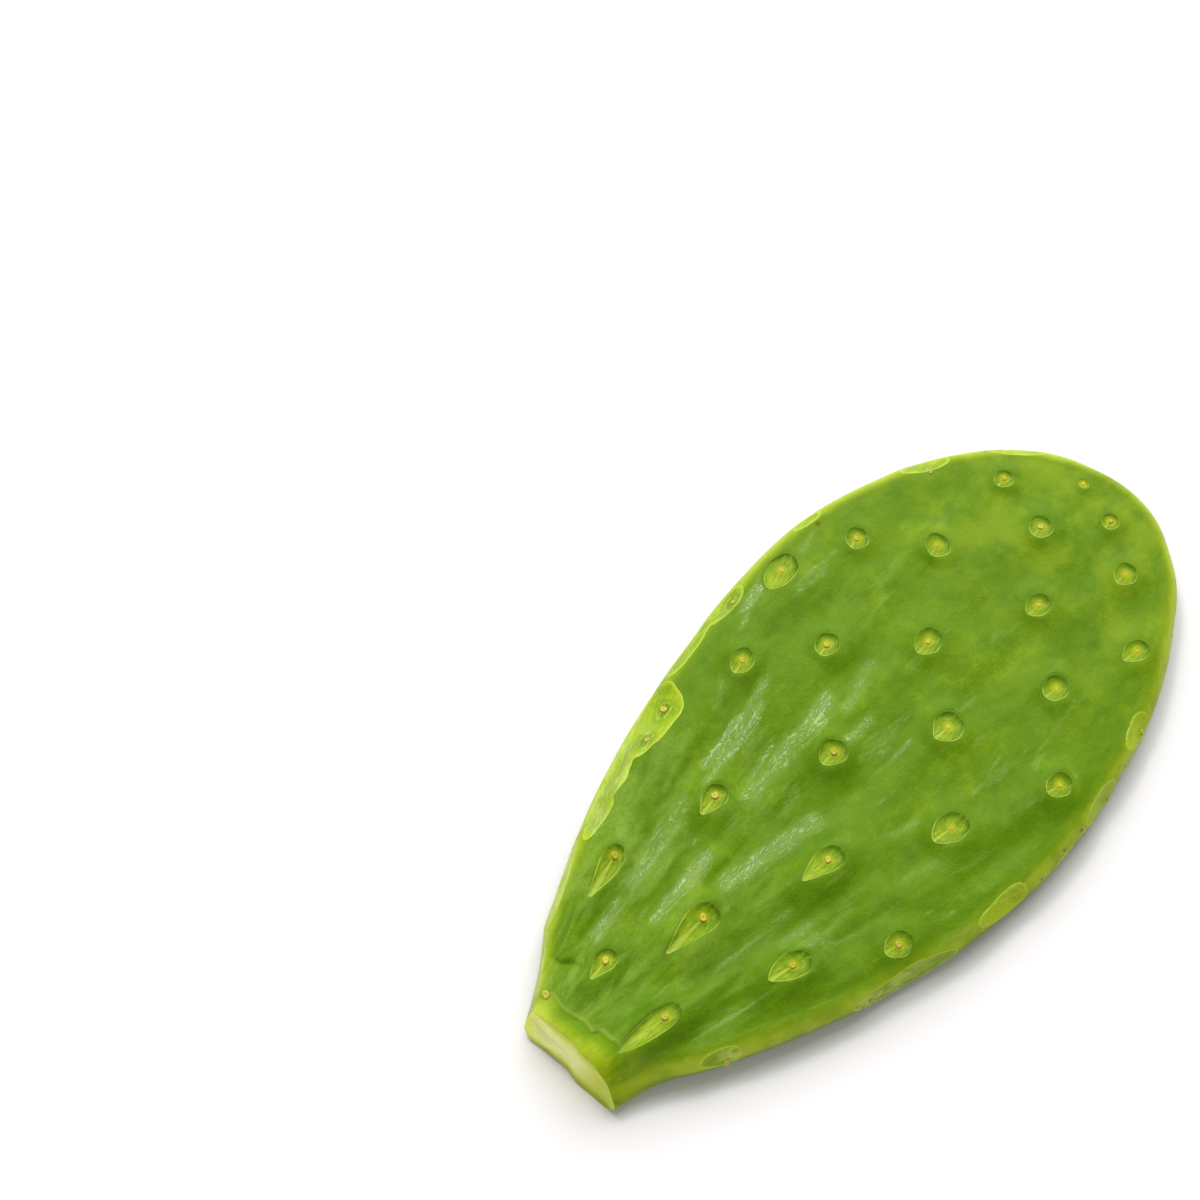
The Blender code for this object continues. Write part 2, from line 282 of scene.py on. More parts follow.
def fanned(x, y):
    # place across the fan that the folds spread in: about 1 at the right rim
    return x / (18 + 0.36 * np.minimum(y, 110))


def softRelief(x, y, depth, upper):
    # broad lumps, and long folds that fan out from the stem and fade towards the tip, both nil at the rim
    seed = 3 if upper else 53
    fan = fanned(x, y)
    folds = softNoise(7.5 * fan + 20, y / 62 + 9, seed) + 0.5 * softNoise(15 * fan + 5, y / 40 + 3, seed + 1)
    fading = (0.25 + 0.75 * smoothStep(-y, -165, -45)) * smoothStep(y, 6, 36)
    lumps = softNoise(x / 21 + 30, y / 26 + 11, seed + 2)
    lumps += 0.45 * softNoise(x / 9.5 + 7, y / 13 + 2, seed + 3)
    ripple = softNoise(x / 2.6 + 9, y / 4.4 + 5, seed + 4) + softNoise(x / 1.5, y / 2.8, seed + 5)
    relief = padShape["foldHeight"] * folds * fading + padShape["lumpHeight"] * lumps
    if upper:
        relief = relief + glossyFoldsAt(x, y)[0]
    roll = (0.7 + 0.6 * softNoise(x / 19 + 5, y / 19, seed + 6)) * smoothStep(y, 15, 45)
    furrow = padShape["rollDepth"] * roll * np.exp(-(((depth - 4.6) / 1.5) ** 2))
    relief = relief * smoothStep(depth, 1, 14) - furrow
    return relief + padShape["rippleHeight"] * ripple * smoothStep(depth, 0, 4)


def glossyFoldsAt(x, y):
    # Across each fold, with t the distance over its width, the height is t e^(1/2 - t^2 / 2), a slope between
    # a furrow and a crest, and the gloss is a narrower bell. Both fade past the fold's ends.
    rise, gloss = np.zeros(x.shape), np.zeros(x.shape)
    for startX, startY, endX, endY, width, high, shine in glossyFolds:
        length = np.hypot(endX - startX, endY - startY)
        aheadX, aheadY = (endX - startX) / length, (endY - startY) / length
        run = (x - startX) * aheadX + (y - startY) * aheadY
        t = ((x - startX) * aheadY - (y - startY) * aheadX) / width
        past = np.maximum(abs(run - length / 2) - length / 2, 0)
        rise += high * t * np.exp(0.5 - t**2 / 2 - (past / 7) ** 2)
        gloss = np.maximum(gloss, shine * np.exp(-((t / 0.75) ** 2) - (past / 2.5) ** 2))
    return rise, gloss


def skinOver(x, y, depth, upper):
    # height of the skin before its mounds: the underside's relief is half as deep, and never far up into it
    height = skinHeight(x, y, depth, upper)
    relief = softRelief(x, y, depth, upper)
    return height + relief if upper else height - 0.5 * np.maximum(relief, -0.6)


def towardsStem(x, y):
    # unit direction along the pad's fan of folds, down to the stem
    down = np.array([-x, -(y + 55.0)])
    return down / np.hypot(*down)


def crowdedTo(x, y, areoles):
    # draws the grid in round each cluster, so that its flat gets more vertices
    for areole in areoles:
        depth, _ = depthFromRim(np.array([areole[0]]), np.array([areole[1]]))
        reach = min(12.0, 0.95 * depth[0])
        stepX, stepY = x - areole[0], y - areole[1]
        share = np.clip((stepX**2 + stepY**2) / reach**2, 0, 1)
        pull = padShape["crowding"] * (1 - share) ** 2
        x, y = x - pull * stepX, y - pull * stepY
    return x, y


def addMounds(x, y, height, areoles, upper):
    # Each mound is a bell that falls off round an oval, with a low ridge behind it down to the stem. Its flat
    # lies where the level, the length of (across / half width, along / length), is under 1. Its stem side is
    # longer and tapers. The distance to its edge is (level - 1) over the level's slope.
    side = 1 if upper else -1
    edge, tone = np.full(x.shape, 20.0), np.zeros(x.shape)
    along, across = np.full(x.shape, 20.0), np.full(x.shape, 20.0)
    draws = np.random.default_rng(17)
    for spotX, spotY, halfWidth, head, tail, taper, moundHeight, *_ in areoles:
        rise = padShape["moundRise"] * moundHeight
        spot = np.array([[spotX, spotX + 1, spotX], [spotY, spotY, spotY + 1]])
        spotDepth, _ = depthFromRim(*spot)
        levels = skinOver(*spot, spotDepth, upper)
        down = towardsStem(spotX, spotY)
        p = (x - spotX) * down[0] + (y - spotY) * down[1]
        q = (x - spotX) * down[1] - (y - spotY) * down[0]
        turn = np.arctan2(q, p)
        wobble = 1 + 0.05 * np.sin(2 * turn + 6 * draws.random())
        wobble = wobble + 0.025 * np.sin(5 * turn + 6 * draws.random())
        narrowed = np.maximum(1 - taper * np.clip(p / tail, 0, 2) ** 1.4, 0.1)
        width, length = halfWidth * narrowed * wobble, np.where(p > 0, tail, head) * wobble
        level = np.hypot(q / width, p / length)
        outside = (level - 1) * level / (np.hypot(q / width**2, p / length**2) + 1e-4)
        oval = np.maximum(np.hypot(q / halfWidth, p / np.where(p > 0, 0.85 * tail, head)) - 1, 0)
        bell = np.exp(-((oval * halfWidth / (padShape["moundWidth"] + 0.3 * halfWidth)) ** 2))
        ridge = 0.5 * np.exp(-np.maximum(p, 0) / (8 + 2 * tail) - (q / (halfWidth + 1.5)) ** 2)
        ridge = ridge * smoothStep(p, -2, 0.8 * tail)
        height = height + side * rise * np.maximum(bell, ridge)
        if upper or spotDepth[0] < restDepth:
            slope = (levels[1] - levels[0]) * (x - spotX) + (levels[2] - levels[0]) * (y - spotY)
            flat = levels[0] + slope + side * (rise - padShape["flatSink"])
            scoop = padShape["flatScoop"] * smoothStep(-outside, -0.1, 1.5) - 0.05 * p / head * (p < 0)
        else:
            flat, scoop = 0.0 * x, 0.0 * x
        inside = smoothStep(-outside, -0.3, 0.3) * smoothStep(y, 8, 17)
        height = height + inside * (flat - side * scoop - height)
        nearer = outside < edge
        edge = np.where(nearer, outside, edge)
        tone = np.where(nearer, draws.random(), tone)
        along, across = np.where(nearer, p, along), np.where(nearer, q, across)
    return height, edge, tone, along, across


def collarAt(x):
    # along-coordinate of the collar's edge, with small notches
    places = np.array(collarEdge)
    return np.interp(x, places[:, 0], places[:, 1]) + 1.1 * softNoise(x / 3.7 + 40, 0 * x, 41)


def denting(x, y):
    # a short crease and the shallow dip around it: each is a bell across a short line
    along, across = x + 14.6 + 0.45 * (y - 18), y - 18 - 0.45 * (x + 14.6)
    crease = 0.95 * np.exp(-(((across - 0.5 * np.sin(along)) / 0.75) ** 2) - (along / 3.0) ** 2)
    return crease + 0.5 * np.exp(-((across / 3.2) ** 2) - (along / 5.0) ** 2)


def sheet(upper):
    # one face of the pad: rows run from the left rim to the right rim, from the cut to the tip
    left, right = (unevenLine(side) for side in (rimLine[: tipIndex + 1], rimLine[tipIndex:][::-1]))
    turn = np.linspace(0, np.pi / 2, padShape["rimColumns"], endpoint=False)
    band = padShape["rimShare"] * (1 - np.cos(turn)) / 2
    middle = padShape["columnsAbove"] if upper else padShape["columnsBelow"]
    inner = np.linspace(padShape["rimShare"] / 2, 1 - padShape["rimShare"] / 2, middle)
    share = np.concatenate([band, inner, 1 - band[::-1]])
    x = left[:, :1] + (right[:, :1] - left[:, :1]) * share
    y = left[:, 1:] + (right[:, 1:] - left[:, 1:]) * share
    areoles = upperAreoles if upper else underAreoles
    x, y = crowdedTo(x, y, areoles)
    depth, nearest = depthFromRim(x, y)
    depth[:, [0, -1]] = 0
    gloss = glossyFoldsAt(x, y)[1] if upper else 0 * x
    height, edge, tone, along, across = addMounds(x, y, skinOver(x, y, depth, upper), areoles, upper)
    collar = y - collarAt(x)
    peeled = (1 - smoothStep(collar, -0.7, 0.6)) * smoothStep(depth, 0, 2) * smoothStep(-x, -14, -8)
    step = padShape["collarStep"] * peeled
    height = height - step - denting(x, y) if upper else np.maximum(height + step, 0)
    rimRun = np.arange(padShape["rimPoints"])[nearest] * rimSpacing
    nearRim = np.exp(-((depth / 7) ** 2))
    sway = padShape["rimSway"] * softNoise(rimRun / 31, 0 * rimRun, 91) * nearRim * smoothStep(y, 8, 30)
    wander = padShape["rimWander"] * (softNoise(rimRun / 13, 0 * rimRun, 92) - 0.4) * nearRim
    outward = rimOutward[nearest]
    plan = np.dstack([x, y]) + wander[..., None] * outward
    radius = padShape["rimRadius"]
    theta = np.arccos(np.clip(1 - depth / radius, 0, 1))
    spread = radius * (np.pi / 2 - theta - np.cos(theta))  # how much longer the rim's arc is than its width
    return {
        "places": np.dstack([plan, np.maximum(height + sway, 0)]), "flat": plan + spread[..., None] * outward,
        "depth": depth, "edge": edge, "tone": tone, "along": along, "across": across, "collar": collar,
        "gloss": gloss,
    }


def trimRim(places):
    # Every vertex beyond a cut's plane is dropped onto it. Returns how far beyond the nearest one each was.
    beyondMost = np.full(len(places), -20.0)
    for cutX, cutY, tilt, deep, tipward, stemward in rimCuts:
        at = np.hypot(rimLine[:, 0] - cutX, rimLine[:, 1] - cutY).argmin()
        tilt = np.radians(tilt)
        normal = np.array([*(rimOutward[at] * np.cos(tilt)), np.sin(tilt)])
        ball = np.array([*(rimLine[at] - padShape["rimRadius"] * rimOutward[at]), padShape["midHeight"]])
        origin = ball + (padShape["rimRadius"] - deep) * normal
        run = (places[:, :2] - rimLine[at]) @ rimAhead[at] * np.sign(rimAhead[at, 1])
        share = np.where(run > 0, (abs(run) / tipward) ** 2.6, (abs(run) / stemward) ** 1.7)
        waver = 0.07 * softNoise(run / 5 + 3 * deep, places[:, 2] / 3, 7)
        beyond = (places - origin) @ normal + waver - 1.15 * deep * share
        places = places - np.maximum(beyond, 0)[:, None] * normal
        beyondMost = np.maximum(beyondMost, beyond)
    return places, beyondMost


def slopeOf(values, places):
    # how fast the values change along the skin, from the grid's own steps: the root of
    # (G a^2 - 2 F a b + E b^2) / (E G - F^2), with a and b the values' steps and E, F and G the products of
    # the steps between the places
    down, over = np.gradient(places, axis=0), np.gradient(places, axis=1)
    a, b = np.gradient(values, axis=0), np.gradient(values, axis=1)
    e, f, g = (down**2).sum(axis=-1), (down * over).sum(axis=-1), (over**2).sum(axis=-1)
    return np.sqrt(np.maximum(g * a**2 - 2 * f * a * b + e * b**2, 0) / np.maximum(e * g - f**2, 1e-6))


def cutFace(ring):
    # rings of the stem end's outline drawn in to its middle: hollowed a little, and ribbed by fibres
    shares = 1 - np.array([0.02, 0.05, 0.09, 0.15, 0.22, 0.3, 0.39, 0.48, 0.58, 0.68, 0.78, 0.87, 0.95])
    middle = (ring.min(axis=0) + ring.max(axis=0)) / 2
    rings = middle + (ring - middle) * shares[:, None, None]
    fibres = 0.12 * softNoise(rings[..., 0] / 5, rings[..., 2] / 0.9 + 0.12 * rings[..., 0], 61)
    above = rings[..., 2] - 9.3 + 0.06 * rings[..., 0]
    slit = 0.5 * np.exp(-(((rings[..., 0] - 4) / 3.5) ** 2) - (above / 0.35) ** 2)
    hollow = 0.55 * (1 - shares[:, None] ** 4)
    rings[..., 1] += hollow + (fibres + slit) * smoothStep(-shares[:, None], -1, -0.85)
    return rings, middle + np.array([0, 0.55, 0])


def quadsOf(grid):
    # the quads between neighbours of a grid, of vertex numbers or of UV places
    quads = np.stack([grid[:-1, :-1], grid[:-1, 1:], grid[1:, 1:], grid[1:, :-1]], axis=2)
    return quads.reshape(-1, 4, *grid.shape[2:])


def fanTo(tip, ring):
    # the triangles from each step along a line, of vertex numbers or of UV places, to one tip
    return np.stack([ring[:-1], ring[1:], np.broadcast_to(tip, ring[1:].shape)], axis=1)


uvLayout = {  # one unit is this many millimetres, and each island is moved by so much
    "size": 250, "above": (62, 8), "below": (187, 8), "cut": (62, 228), "tip": (2, 212.3),
}


def makePad():
    above, below = sheet(True), sheet(False)
    rows, columns, under = *above["depth"].shape, below["depth"].shape[1]

    def joined(key):
        # the upper sheet's values, then the under sheet's without the rim that they share
        width = above[key].shape[2:]
        return np.concatenate([above[key].reshape(-1, *width), below[key][:, 1:-1].reshape(-1, *width)])

    places = joined("places")
    lean = padShape["cutStart"] + padShape["cutLean"] * places[:, 2] - 3
    lean += 0.5 * softNoise(places[:, 0] / 5.5 + 8, places[:, 2] / 7, 71)
    places[:, 1] += lean * np.exp(-np.maximum(places[:, 1] - 3, 0) / 7)
    tip = len(places)
    topIndex = np.arange(rows * columns).reshape(rows, columns)
    inner = np.arange(rows * columns, tip).reshape(rows, under - 2)
    underIndex = np.column_stack([topIndex[:, 0], inner, topIndex[:, -1]])
    whole = places
    places, beyond = trimRim(whole)
    for index in (underIndex, topIndex):
        slope = slopeOf(beyond[index], whole[index])
        beyond[index] = np.clip(beyond[index] / np.maximum(slope, 0.08), -20, 20)
    places[:, 2] = np.maximum(places[:, 2], 0)
    tipPlace = places[[topIndex[-1, 0], topIndex[-1, -1]]].mean(axis=0) + (0, 0.05, 0)
    ringIndex = np.concatenate([topIndex[0], underIndex[0, 1:-1][::-1]])
    rings, middle = cutFace(places[ringIndex])
    centre = tip + 1 + rings[..., 0].size
    ringGrid = np.vstack([ringIndex, np.arange(tip + 1, centre).reshape(-1, len(ringIndex))])
    ringGrid = np.column_stack([ringGrid, ringGrid[:, 0]])
    allPlaces = np.vstack([places, tipPlace, rings.reshape(-1, 3), middle])
    skinQuads = np.vstack([quadsOf(topIndex), quadsOf(underIndex)[:, ::-1]])
    quads = np.vstack([skinQuads, quadsOf(ringGrid)[:, ::-1]])
    cutTriangles = fanTo(centre, ringGrid[-1, ::-1])
    triangles = np.vstack([fanTo(tip, topIndex[-1]), fanTo(tip, underIndex[-1, ::-1]), cutTriangles])
    low, high = allPlaces.min(axis=0), allPlaces.max(axis=0)
    move = np.add(padLow, padHigh) / 2 / mm - (low + high) / 2
    move[2] = -low[2]
    piece = meshPiece("padSkin", allPlaces + move, quads, triangles)

    def padded(values, *fill):
        # values for the tip and the cut face after the skin's
        return np.concatenate([values, np.broadcast_to(fill, (len(allPlaces) - tip, values.shape[1]))])

    spots = np.column_stack([joined("along"), joined("across"), joined("edge")])
    keepValues(piece, "areoleSpot", padded(spots, 20.0))
    zones = padded(np.column_stack([joined("depth"), beyond, joined("collar")]), 0.0, -20.0, -9.0)
    zones[tip, 2] = 200  # the tip is as far from the collar as can be
    keepValues(piece, "padZones", zones)
    fan = 45 * fanned(allPlaces[:, 0], allPlaces[:, 1])
    keepValues(piece, "fanPlace", np.column_stack([fan, allPlaces[:, 1:]]))
    nubs = np.full(len(allPlaces), 20.0)
    for spotX, spotY, *_ in rimStubs:
        down = towardsStem(spotX, spotY)
        aside = (allPlaces[:, 0] - spotX) * down[1] - (allPlaces[:, 1] - spotY) * down[0]
        behind = (allPlaces[:, 0] - spotX) * down[0] + (allPlaces[:, 1] - spotY) * down[1]
        nubs = np.minimum(nubs, np.hypot(aside, behind * np.where(behind > 0, 0.5, 0.8)))
    keepValues(piece, "nubSpot", np.column_stack([nubs, nubs, nubs]))
    specks = np.zeros(len(allPlaces))
    for spotX, spotY, radius in skinSpecks:
        aside = np.hypot(allPlaces[:, 0] - spotX, allPlaces[:, 1] - spotY) + 20 * (allPlaces[:, 2] < 7)
        away = np.hypot(aside, allPlaces[:, 2] - allPlaces[aside.argmin(), 2])
        specks = np.maximum(specks, 1 - away / radius / 1.6)
    tones = padded(np.column_stack([joined("tone"), joined("gloss")]), 0.0)
    keepValues(piece, "padTones", np.column_stack([tones, specks]))

    # two islands side by side, the upper face and the underside, and the cut face above them
    aboveUv, belowUv = above["flat"] + uvLayout["above"], below["flat"] + uvLayout["below"]
    cutUv = allPlaces[:, [0, 2]] + uvLayout["cut"]
    corners = [
        quadsOf(aboveUv),
        quadsOf(belowUv)[:, ::-1],
        quadsOf(cutUv[ringGrid])[:, ::-1],
        fanTo(np.add(uvLayout["tip"], uvLayout["above"]), aboveUv[-1]),
        fanTo(np.add(uvLayout["tip"], uvLayout["below"]), belowUv[-1, ::-1]),
        cutUv[cutTriangles],
    ]
    uv = piece.data.uv_layers.new(name="OFBake")
    flat = np.concatenate([c.reshape(-1, 2) for c in corners]) / uvLayout["size"]
    uv.uv.foreach_set("vector", flat.astype(np.float32).ravel())
    slots = np.zeros(len(quads) + len(triangles), np.int32)
    slots[len(skinQuads) : len(quads)] = slots[-len(cutTriangles) :] = 1
    piece.data.polygons.foreach_set("material_index", slots)
    print("pad:", len(allPlaces), "vertices,", 2 * len(quads) + len(triangles), "triangles")
    return piece, move


padSkin, padMove = makePad()


stubShape = {
    "around": 14,
    "sink": 0.35,
    "lean": 0.08,
    "uneven": 0.12,
    "radius": (0.86, 1.0, 1.04, 1.0, 0.88, 0.62, 0.34),  # as shares of the stub's own, from its foot up
    "height": (0.0, 0.35, 0.62, 0.84, 0.97, 0.98, 0.86),
}


def makeStubs():
    # each stub is a short peg turned about the skin's normal, a little swollen, with a shallow pit in its top
    profileRadius, profileHeight = np.array(stubShape["radius"]), np.array(stubShape["height"])
    places = np.empty(3 * len(padSkin.data.vertices), np.float32)
    normals = np.empty_like(places)
    padSkin.data.vertices.foreach_get("co", places)
    padSkin.data.vertex_normals.foreach_get("vector", normals)
    places, normals = places.reshape(-1, 3) / mm - padMove, normals.reshape(-1, 3)
    stubs = [(a[0], a[1], a[7], a[8], 1) for a in upperAreoles] + [(*s, 1) for s in rimStubs]
    stubs += [(a[0], a[1], a[7], 0.0, -1) for a in underAreoles]
    around, draws = stubShape["around"], np.random.default_rng(5)
    rings, quads, caps, middles = [], [], [], []
    turn = np.linspace(0, 2 * np.pi, around, endpoint=False)
    for spotX, spotY, radius, rise, side in stubs:
        away = np.hypot(places[:, 0] - spotX, places[:, 1] - spotY) + 20 * (normals[:, 2] * side < -0.1)
        foot, up = places[away.argmin()], normals[away.argmin()].astype(float)
        up = up / np.linalg.norm(up)
        first = np.cross(up, (0, 1, 0.2))
        first /= np.linalg.norm(first)
        second = np.cross(up, first)
        lean = draws.normal(0, stubShape["lean"], 2)
        oval = 1 + stubShape["uneven"] * np.sin(2 * turn + 6 * draws.random())
        oval = oval + stubShape["uneven"] / 2 * np.sin(3 * turn + 6 * draws.random())
        low = -stubShape["sink"]
        heights = low + (rise - low) * profileHeight
        grid = profileRadius[:, None] * radius * oval
        tilted = first * lean[0] + second * lean[1] + up
        points = foot + grid[..., None] * (np.cos(turn)[:, None] * first + np.sin(turn)[:, None] * second)
        points = points + heights[:, None, None] * tilted
        if side < 0:
            points[..., 2] = np.maximum(points[..., 2], 0)
        start = sum(len(r) for r in rings)
        top = start + points[..., 0].size
        index = np.arange(start, top).reshape(-1, around)
        index = np.column_stack([index, index[:, 0]])
        quads.append(quadsOf(index))
        caps += [fanTo(top, index[-1]), fanTo(top + 1, index[0, ::-1])]
        ends = np.array([points[-1].mean(axis=0), points[0].mean(axis=0)])
        rings.append(np.vstack([points.reshape(-1, 3), ends]))
        # how near the middle of the top each vertex is, from 0 there to 1.2 down the sides
        shares = np.append(np.repeat(np.where(profileHeight > 0.9, profileRadius, 1.2), around), [0, 1.2])
        same = np.broadcast_to((draws.random(), radius), (len(shares), 2))
        middles.append(np.column_stack([shares, same]))
    piece = meshPiece("areoleStubs", np.vstack(rings) + padMove, np.vstack(quads), np.vstack(caps))
    keepValues(piece, "stubSpot", np.vstack(middles))
    print("stubs:", len(stubs))
    return piece


areoleStubs = makeStubs()


def feed(socket, value):
    # a link where the value is another node's output, and a plain value otherwise
    if isinstance(value, bpy.types.NodeSocket):
        socket.id_data.links.new(value, socket)
    else:
        socket.default_value = value


def addNode(kind, inputs, tree=None, **settings):
    # a node in the tree given, or else in the one that its inputs come from
    outputs = [value for value in inputs.values() if isinstance(value, bpy.types.NodeSocket)]
    node = (tree or outputs[0].id_data).nodes.new(kind)
    for name, value in settings.items():
        setattr(node, name, value)
    for name, value in inputs.items():
        feed(node.inputs[name], value)
    return node


def maths(operation, *inputs):
    return addNode("ShaderNodeMath", dict(enumerate(inputs)), operation=operation).outputs[0]


def plus(*inputs):
    return reduce(partial(maths, "ADD"), inputs)


def minus(first, second):
    return maths("SUBTRACT", first, second)


def times(*inputs):
    return reduce(partial(maths, "MULTIPLY"), inputs)


def ramp(value, low, high, start=0, end=1):
    # start below low, end above high, smooth between
    limits = {"Value": value, "From Min": low, "From Max": high, "To Min": start, "To Max": end}
    return addNode("ShaderNodeMapRange", limits, interpolation_type="SMOOTHSTEP").outputs[0]


def line(value, at, width):
    # 1 where the value is at, 0 further than width from it
    return ramp(maths("ABSOLUTE", minus(value, at)), 0.25 * width, width, 1, 0)


def scaled(place, *factors):
    return addNode("ShaderNodeVectorMath", {0: place, 1: factors}, operation="MULTIPLY").outputs[0]


def noise(place, scale, detail=3, roughness=0.5, distortion=0):
    inputs = {"Vector": place, "Scale": scale, "Detail": detail, "Roughness": roughness}
    return addNode("ShaderNodeTexNoise", {**inputs, "Distortion": distortion}).outputs["Fac"]


def strayed(value, by, reach):
    # the value moved up and down by a noise that runs from 0 to 1
    return plus(value, times(minus(by, 0.5), reach))


def mixed(share, first, second):
    return addNode("ShaderNodeMix", {0: share, 6: first, 7: second}, data_type="RGBA").outputs[2]


def painted(colour, look, *layers):
    # the look's named colours laid over the colour one after another, each by its share
    for share, name in layers:
        colour = mixed(share, colour, look[name])
    return colour


def coloursOf(look):
    # linear values of colours written as on a web page
    colours = {}
    for name, text in look.items():
        part = np.frombuffer(bytes.fromhex(text[1:]), np.uint8) / 255
        linear = np.where(part < 0.04045, part / 12.92, ((part + 0.055) / 1.055) ** 2.4)
        colours[name] = (*linear.tolist(), 1)
    return colours


def values(tree, name):
    # the three numbers kept at each vertex under this name
    kept = addNode("ShaderNodeAttribute", {}, tree, attribute_name=name).outputs["Vector"]
    return kept, *addNode("ShaderNodeSeparateXYZ", {0: kept}).outputs


def millimetres(tree):
    return scaled(addNode("ShaderNodeTexCoord", {}, tree).outputs["Object"], 1000, 1000, 1000)


def bumped(shader, height, depth):
    bump = addNode("ShaderNodeBump", {"Strength": 1, "Distance": depth, "Height": height})
    feed(shader.inputs["Normal"], bump.outputs[0])


def newMaterial(name, **constants):
    material = bpy.data.materials.new(name)
    material.use_nodes = True
    shader = material.node_tree.nodes["Principled BSDF"]
    for key, value in constants.items():
        shader.inputs[key.replace("_", " ")].default_value = value
    return material, material.node_tree, shader


def newGroup(name, inputs, outputs):
    # a node group with its named sockets: pairs of name and kind
    tree = bpy.data.node_groups.new(name, "ShaderNodeTree")
    for names, way in ((inputs, "INPUT"), (outputs, "OUTPUT")):
        for socket, kind in names.items():
            tree.interface.new_socket(socket, in_out=way, socket_type="NodeSocket" + kind)
    return tree, tree.nodes.new("NodeGroupInput").outputs, tree.nodes.new("NodeGroupOutput").inputs


def useGroup(group, **inputs):
    return addNode("ShaderNodeGroup", inputs, node_tree=group).outputs


def makeTissueGroup():
    # cut flesh: pale green with darker juice, fine fibres along one direction and small bright cells
    tree, given, put = newGroup(
        "cutTissue",
        {"Place": "Vector", "Pale": "Color", "Juicy": "Color", "Amount": "Float"},
        {"Colour": "Color", "Height": "Float"},
    )
    place = given["Place"]
    broad = ramp(noise(place, 0.42, 3), 0.36, 0.64)
    fibres = noise(scaled(place, 3.2, 0.45, 1), 1, 3, 0.6, 0.4)
    cells = ramp(noise(place, 3.4, 2), 0.55, 0.75)
    juice = plus(times(broad, 0.6), times(ramp(fibres, 0.4, 0.62), 0.4))
    colour = mixed(times(juice, given["Amount"]), given["Pale"], given["Juicy"])
    colour = painted(colour, coloursOf(fleshLook), (times(cells, given["Amount"], 0.2), "cells"))
    feed(put["Colour"], colour)
    feed(put["Height"], plus(times(fibres, 0.6), times(cells, 0.4)))
    return tree


def makeGrainGroup():
    # the skin's fine pebbling: heights from 0 to 1, and a tone of small pale pores
    tree, given, put = newGroup(
        "skinGrain", {"Place": "Vector", "Stretch": "Float"}, {"Height": "Float", "Pores": "Float"}
    )
    squeeze = addNode("ShaderNodeCombineXYZ", {0: 1, 1: given["Stretch"], 2: 1}).outputs[0]
    place = addNode("ShaderNodeVectorMath", {0: given["Place"], 1: squeeze}, operation="MULTIPLY").outputs[0]
    pores = addNode("ShaderNodeTexVoronoi", {"Vector": place, "Scale": 1.5}).outputs["Distance"]
    feed(put["Pores"], ramp(pores, 0.06, 0.17, 1, 0))
    feed(put["Height"], plus(times(noise(place, 1.6, 3, 0.6), 0.8), times(pores, 0.3)))
    return tree


fleshLook = {
    "pale": "#e3ea66", "juicy": "#d4e048", "right": "#b8c83a", "under": "#9db02a", "top": "#b9c636",
    "middle": "#f6f9b4", "cells": "#eef0b8",
}

tissueGroup, grainGroup = makeTissueGroup(), makeGrainGroup()

skinLook = {
    "deep": "#497005", "middle": "#5a8008", "light": "#729310", "bloomAndSheen": "#84a440", "yellow": "#8ba40f",
    "rimPale": "#abc422", "rimDeep": "#799c0b", "rimGreen": "#6c930c", "rimScrape": "#c6d866",
    "facetPale": "#7f9c10", "facetJuicy": "#5f8404", "facetDarkAndShade": "#456a02", "facetTail": "#9cb322",
    "eye": "#b0b512", "ring": "#b8cc50", "collar": "#9cae12", "collarEdge": "#628a02", "collarLeft": "#bfcb44",
    "speck": "#6a5416", "crinkleHighlight": "#98bb66", "lipHighlight": "#b4c466", "edge": "#b0c436", "tipBlotch": "#88a11a",
}
skinRelief = {  # heights in millimetres of the bump's parts
    "grain": 0.11, "hairs": 0.09, "folds": 0.55, "fine": 0.09, "ring": 0.07, "cutEdge": 0.08, "scrapes": 0.25,
    "tissue": 0.06, "seam": 0.12,
}


